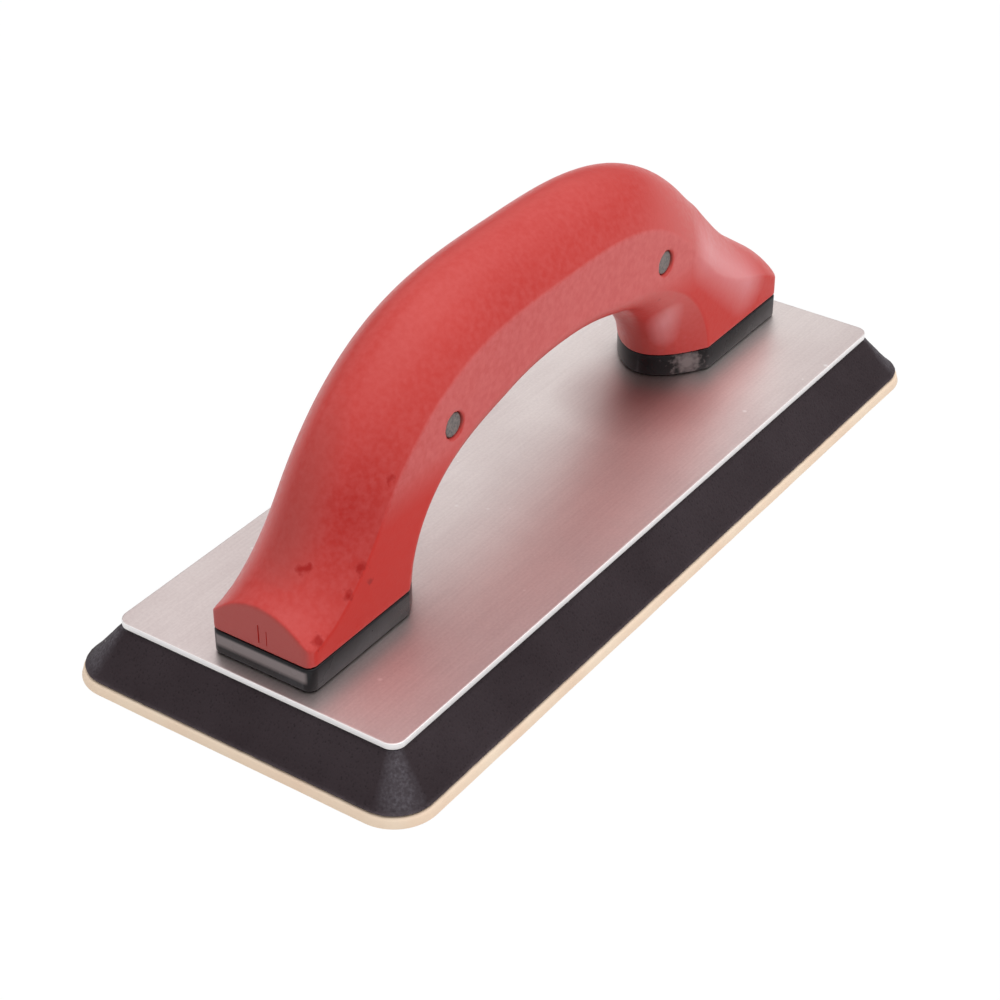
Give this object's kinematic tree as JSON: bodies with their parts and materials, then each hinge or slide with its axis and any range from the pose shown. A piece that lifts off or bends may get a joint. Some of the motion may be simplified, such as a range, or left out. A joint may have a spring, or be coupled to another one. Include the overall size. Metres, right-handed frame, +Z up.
{
  "type": "rubber grout float",
  "caption": "Hand float for pressing grout into tile joints: tan gum rubber face on a bevelled sponge pad, aluminium backing plate and a soft-grip arch handle on a rigid core.",
  "frame": {"origin": "middle of the working face, on the surface that the float lies on", "axes": "+X along the float from the heel of the handle to its toe, +Y across it, +Z up towards the handle"},
  "size_m": [0.2414, 0.1016, 0.0894],
  "materials": {
    "gum_rubber": "smooth matte tan gum rubber",
    "sponge_rubber": "matte black sponge with a fine open grain",
    "plate_aluminium": "mill finish with a bright sheared edge",
    "core_plastic": "satin black moulding",
    "grip_rubber": "satin red overmould",
    "screw_steel": "zinc plated"
  },
  "bodies": {
    "root": {"gum_face": "gum_rubber", "sponge_pad": "sponge_rubber", "backing_plate": "plate_aluminium", "handle_core": "core_plastic", "handle_grip": "grip_rubber", "screw_heel_outer": "screw_steel", "screw_heel_inner": "screw_steel", "screw_toe_inner": "screw_steel", "screw_toe_outer": "screw_steel"}
  },
  "joints": []
}
